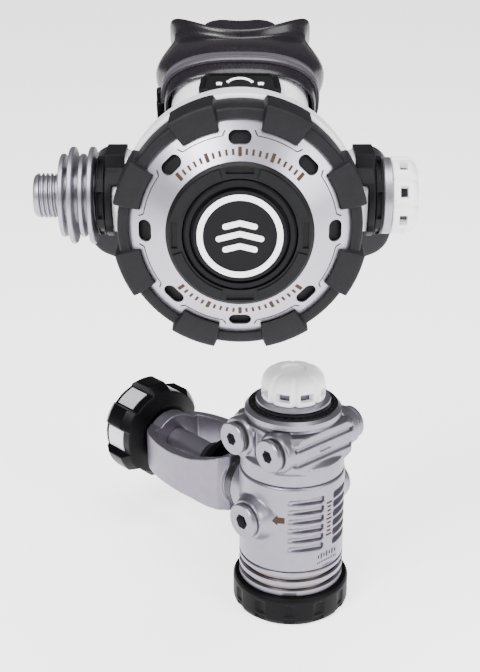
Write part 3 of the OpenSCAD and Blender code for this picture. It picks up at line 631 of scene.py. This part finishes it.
def lobed_cap(name, matrix, profile, lobes, notch, windows, turn, material):
    """A turned cap with rounded lobes and recessed windows round its rim.

    profile runs from the rim's bottom to the middle of the top; windows is (low, high, half width
    in degrees, depth); turn is the angle of the first window, halfway between two notches.
    """
    steps = 24 * lobes
    pitch = 360 / lobes
    notch_half = 7.5
    low, high, half, sunk = windows
    rings = []
    for i in range(steps):
        degrees = 360 * i / steps
        off = abs((degrees - turn + pitch / 2) % pitch - pitch / 2)
        valley = smoothstep((off - pitch / 2 + notch_half) / notch_half)
        ring = []
        for r, h in profile:
            # The notches fade out between radius 8 and radius 4.
            fade = smoothstep((r - 4.0) / 4.0)
            r_out = r - notch * valley * fade
            if low <= h <= high and off <= half:
                r_out = min(r_out, r - sunk)
            a = math.radians(degrees)
            ring.append((r_out * math.cos(a), r_out * math.sin(a), h))
        rings.append(ring)
    points, faces = skin(rings, closed_rings=False, loop=True)
    faces.append(tuple(range(0, len(points), len(profile))))
    return link(name, mesh_from(name, points, faces, matrix), material, 38.0)


def dome_profile(radius, height, low, high, crown):
    """Rim and dome of a cap, with close pairs of heights at the windows' edges."""
    edge = 0.06
    wall = [(radius - 0.5, 0.0), (radius - 0.1, 0.3), (radius, 0.9)]
    wall += [(radius, h) for h in (low - edge, low, high, high + edge)]
    steps = 14
    for k in range(1, steps + 1):
        t = k / steps
        r = radius - (radius - crown) * t ** 1.7
        wall.append((r, high + edge + (height - high) * (1 - (1 - t) ** 2.2)))
    dish = [(crown * 0.86, height + 0.05), (crown * 0.8, height - 0.6),
            (crown * 0.3, height - 0.7), (0.02, height - 0.7)]
    return wall + dish


def white_caps():
    """The lobed caps of the turret and of the valve tube's end."""
    lobes, notch = 8, 1.0
    profile = dome_profile(13.3, 11.8, 2.1, 5.6, 6.2)
    place = FIRST @ Matrix.Translation((0, 0, 97.02))
    windows = (2.05, 5.65, 11.5, 2.6)
    cap = lobed_cap("top_cap_lobed", place, profile, lobes, notch, windows, 26.5, CAP_WHITE)
    finish_piece(cap, "turret_block", "top_cap")
    profile = dome_profile(12.4, 8.4, 2.2, 4.6, 6.8)
    place = VALVE @ Matrix.Translation((0, 0, 48.02))
    windows = (2.15, 4.65, 8.5, 2.2)
    cap = lobed_cap("end_cap_lobed", place, profile, lobes, notch, windows, 160, CAP_WHITE)
    finish_piece(cap, "second_stage", "end_cap")


# ------------------------------------------------------------------ first stage


def barrel_decal(name, barrel, shapes, angle, height, material):
    """Thin marks laid on the barrel: flat shapes in millimetres, cast at it from outside."""
    a = math.radians(angle)
    out = Vector((math.cos(a), math.sin(a), 0))
    right = Vector((-math.sin(a), math.cos(a), 0))
    origin = out * 45 + Vector((0, 0, height))
    aim = (FIRST.to_3x3() @ -out).normalized()
    to_local = FIRST.inverted()
    parts = []
    for shape in shapes:
        top, under = [], []
        for x, y in shape:
            start = FIRST @ (origin + right * x + Vector((0, 0, y)))
            hit, place, normal, _ = barrel.ray_cast(start, aim)
            assert hit, name
            top.append(to_local @ (place + normal * 0.06 * MM))
            under.append(to_local @ (place - normal * 0.1 * MM))
        parts.append(skin([top, under]))
    points, faces = join_parts(parts)
    mark = link(name, mesh_from(name, points, faces, FIRST), material)
    finish_piece(mark, "first_stage")


def bar(x, y, w, h):
    """A small rectangle in steps across, so that it follows a round surface."""
    across = (-w / 2, 0, w / 2)
    return [(x + dx, y - h / 2) for dx in across] + [(x - dx, y + h / 2) for dx in across]


def barrel_marks(barrel):
    """Generic graduated marks in place of lettering, and an arrow at each side port."""
    column = [bar(0, 1.9 * i, 2.1 if i % 4 else 3.2, 0.9) for i in range(9)]
    barrel_decal("strip_marks", barrel, column, 0, 40.6, BROWN_MARK)
    scale = [bar(1.6 * i, 0, 0.7, 1.6 if i % 2 else 2.6) for i in range(-3, 4)]
    scale += [bar(1.05 * i, -2.9, 0.5, 0.9) for i in range(-5, 6)]
    barrel_decal("low_marks", barrel, scale, 0, 31.0, DARK_MARK)
    for name, side in (("port_arrow_left", -1), ("port_arrow_right", 1)):
        shaft = [(1.2 * side, -1.4), (1.2 * side, 1.4), (-1.8 * side, 1.4), (-1.8 * side, -1.4)]
        head = [(1.2 * side, 2.4), (3.4 * side, 0), (1.2 * side, -2.4)]
        barrel_decal(name, barrel, [shaft, head], side * 56, 50, BROWN_MARK)


def groove_bands():
    """Polished bands on the floors of the barrel's two grooves."""
    for name, low in (("lower_groove", 16.3), ("upper_groove", 20.7)):
        high = low + 1.9
        profile = [(20.9, low), (21.2, low), (21.2, high), (20.9, high)]
        finish_piece(lathe(name, profile, FIRST, POLISHED), "first_stage")


def seal_band():
    """Black band under the top cap, and a row of small metal studs round it."""
    profile = rounded_profile([(15.85, 93.1), (18.7, 93.1), (18.7, 94.2), (15.85, 94.4)], 0.3)
    band = lathe("seal_band", profile, FIRST, BLACK)
    finish_piece(band, "turret_block")
    count, reach = 36, 17.3
    corners = [(math.cos(math.pi * k / 4), math.sin(math.pi * k / 4)) for k in range(8)]
    parts = []
    for i in range(count):
        a = 2 * math.pi * i / count
        x, y = reach * math.cos(a), reach * math.sin(a)
        rings = [[(x + r * cx, y + r * cy, z) for cx, cy in corners]
                 for r, z in ((0.42, 94.1), (0.42, 94.4), (0.25, 94.5))]
        parts.append(skin(rings))
    points, faces = join_parts(parts)
    studs = link("seal_studs", mesh_from("seal_studs", points, faces, FIRST), DARK_METAL)
    finish_piece(studs, "turret_block")


def cap_cores():
    """Dark rings that show through the windows of the two white caps."""
    wall = 0.5
    for name, matrix, outer, low, high, body in (
            ("top_cap_core", FIRST, 10.75, 99.0, 102.7, "turret_block"),
            ("end_cap_core", VALVE, 10.25, 50.1, 52.7, "second_stage")):
        inner = outer - wall
        profile = [(inner, low), (outer, low), (outer, high), (inner, high)]
        finish_piece(lathe(name, profile, matrix, DARK_METAL), body)


def port_socket_shade():
    """Painted shade: black hex discs at the bottoms of the port plugs' bare metal sockets, in
    place of the shade in those recesses.
    """
    # x, side, distance out to that side, height, radius
    high_ports = [(0, side, 25.4, 48.0, 3.3) for side in (-1, 1)]
    low_ports = [(x, side, 21.4, 80.9, 2.75) for side in (-1, 1) for x in (-10.8, 10.8)]
    corners = [(math.cos(math.pi * k / 3), math.sin(math.pi * k / 3)) for k in range(6)]
    for body, ports in (("first_stage", high_ports), ("turret_block", low_ports)):
        parts = []
        for x, side, out, height, radius in ports:
            rings = [[(x + radius * cx, side * (out + dy), height + radius * cz)
                      for cx, cz in corners] for dy in (-0.2, 0.15)]
            parts.append(skin(rings))
        points, faces = join_parts(parts)
        # painted shade: black discs stand in for the shade inside the metal sockets
        floors = link(body + "_socket_shade", mesh_from(body + "_socket_shade", points, faces, FIRST), BLACK)
        finish_piece(floors, body)


# Materials of the CAD nodes that no piece of this script replaces.
CAD_FINISH = {
    "cover_plate": PLATE_METAL, "purge_housing": PURGE_RUBBER, "purge_button": DISC_RUBBER,
    "purge_trim_ring": INLAY_WHITE, "purge_emblem": INLAY_WHITE, "purge_spring": SPRING,
    "diaphragm": GREY_SILICONE, "diaphragm_plate": PEARL, "diaphragm_clamp_ring": BLACK,
    "demand_lever": SPRING, "valve_tube": PEARL, "inlet_orifice": BRASS, "poppet": SPRING,
    "poppet_spring": SPRING, "heat_exchanger": PEARL, "left_collar": BLACK, "right_collar": BLACK,
    "end_ring": PEARL, "exhaust_valve": GREY_SILICONE, "flow_vane": BLACK,
    "spring_housing": BODY_PEARL, "spring_adjuster": BRASS,
    "environmental_diaphragm": GREY_SILICONE, "main_spring": SPRING,
    "main_diaphragm": GREY_SILICONE, "load_transmitter": PEARL, "valve_lifter": BRASS,
    "seat_insert": BRASS, "main_poppet": SPRING, "main_poppet_spring": SPRING,
    "balance_plug": BRASS, "high_port_plugs": BODY_PEARL, "turret_bolt": PEARL,
    "low_port_plugs": BODY_PEARL, "port_o_rings": SEAL, "turret_top_ring": BODY_PEARL,
    "cap_flange": BODY_PEARL, "yoke_retainer": DARK_METAL, "yoke_collar": DARK_METAL,
    "inlet_filter": BRONZE, "yoke_screw": YOKE_METAL, "screw_pad": DARK_METAL,
    "handwheel_inserts": PANEL_PEARL, "dust_cap": KNOB_BLACK}


def finish_cad_nodes():
    for node, material in CAD_FINISH.items():
        data = NODES[node].data
        data.materials.clear()
        data.materials.append(material)


# ------------------------------------------------------------------ stage, lights and camera


def pale_floor():
    half, gap = 4.0, 0.2 * MM
    z = BARREL.z - gap
    corners = [(-half, -half, z), (half, -half, z), (half, half, z), (-half, half, z)]
    mesh = bpy.data.meshes.new("floor")
    mesh.from_pydata(corners, [], [(0, 1, 2, 3)])
    material, tree, shader = new_material("pale_floor", (0.93, 0.93, 0.93), 0.9)
    tint = ramp(tree, noise(tree, 0.002), (0.92, 0.92, 0.92), (0.94, 0.94, 0.94))
    tree.links.new(tint, shader.inputs["Base Color"])
    tree.links.new(tint, shader.inputs["Emission Color"])
    shader.inputs["Emission Strength"].default_value = 2.2
    link("floor", mesh, material)


def studio_lights():
    """A faint white surround and three soft round lamps aimed at the second stage."""
    world = bpy.data.worlds.new("studio")
    bpy.context.scene.world = world
    world.use_nodes = True
    background = world.node_tree.nodes["Background"]
    background.inputs["Color"].default_value = (1, 1, 1, 1)
    background.inputs["Strength"].default_value = 0.22
    target = RING + Vector((0, 0.05, -0.08))
    # name, place from the second stage's rim, size, power
    lamps = (("key", (-0.55, -0.75, 0.85), 0.6, 26.0), ("fill", (0.8, -0.6, 0.4), 0.7, 11.0),
             ("top", (0.1, -0.25, 1.1), 0.8, 16.0))
    for name, place, size, power in lamps:
        light = bpy.data.lights.new(name, "AREA")
        light.shape = "DISK"
        light.size = size
        light.energy = power
        lamp = bpy.data.objects.new(name, light)
        bpy.context.scene.collection.objects.link(lamp)
        lamp.location = RING + Vector(place)
        lamp.rotation_euler = (target - lamp.location).to_track_quat("-Z", "Y").to_euler()


def camera():
    """Looks down on the second stage by 17.5 degrees, with it in the upper half of the frame."""
    distance, tilt, ring_above_middle = 0.400, math.radians(17.5), math.radians(4.749)
    data = bpy.data.cameras.new("camera")
    data.sensor_width = 36.0
    data.lens = 69.643
    data.clip_start = 0.01
    eye = bpy.data.objects.new("camera", data)
    bpy.context.scene.collection.objects.link(eye)
    eye.location = RING + distance * Vector((0, -math.cos(tilt), math.sin(tilt)))
    eye.rotation_euler = (math.pi / 2 - tilt - ring_above_middle, 0, 0)
    bpy.context.scene.camera = eye


camera()
pale_floor()
studio_lights()
finish_cad_nodes()
bumper_ring()
plate_lines()
plate_ticks()
mouthpiece()
clamp_strap()
neck_plate()
neck_sign()
threaded_stub()
cast("case", 0.45, 10, WHITE, "second_stage")
cast("exhaust_tee", 0.5, 14, TEE_BLACK, "second_stage")
cast("left_arm_clip", 0.3, 6, BLACK, "second_stage")
cast("right_arm_clip", 0.3, 6, BLACK, "second_stage")
first_body = cast("first_body", 0.4, 8, BODY_PEARL, "first_stage")
cast("turret", 0.35, 8, BODY_PEARL, "turret_block")
cast("yoke", 0.35, 8, YOKE_METAL, "yoke_frame")
cast("handwheel", 0.32, 4, KNOB_BLACK, "knob")
cast("end_cover", 0.32, 3, COVER_RUBBER, "first_stage")
white_caps()
barrel_marks(first_body)
groove_bands()
seal_band()
cap_cores()
port_socket_shade()
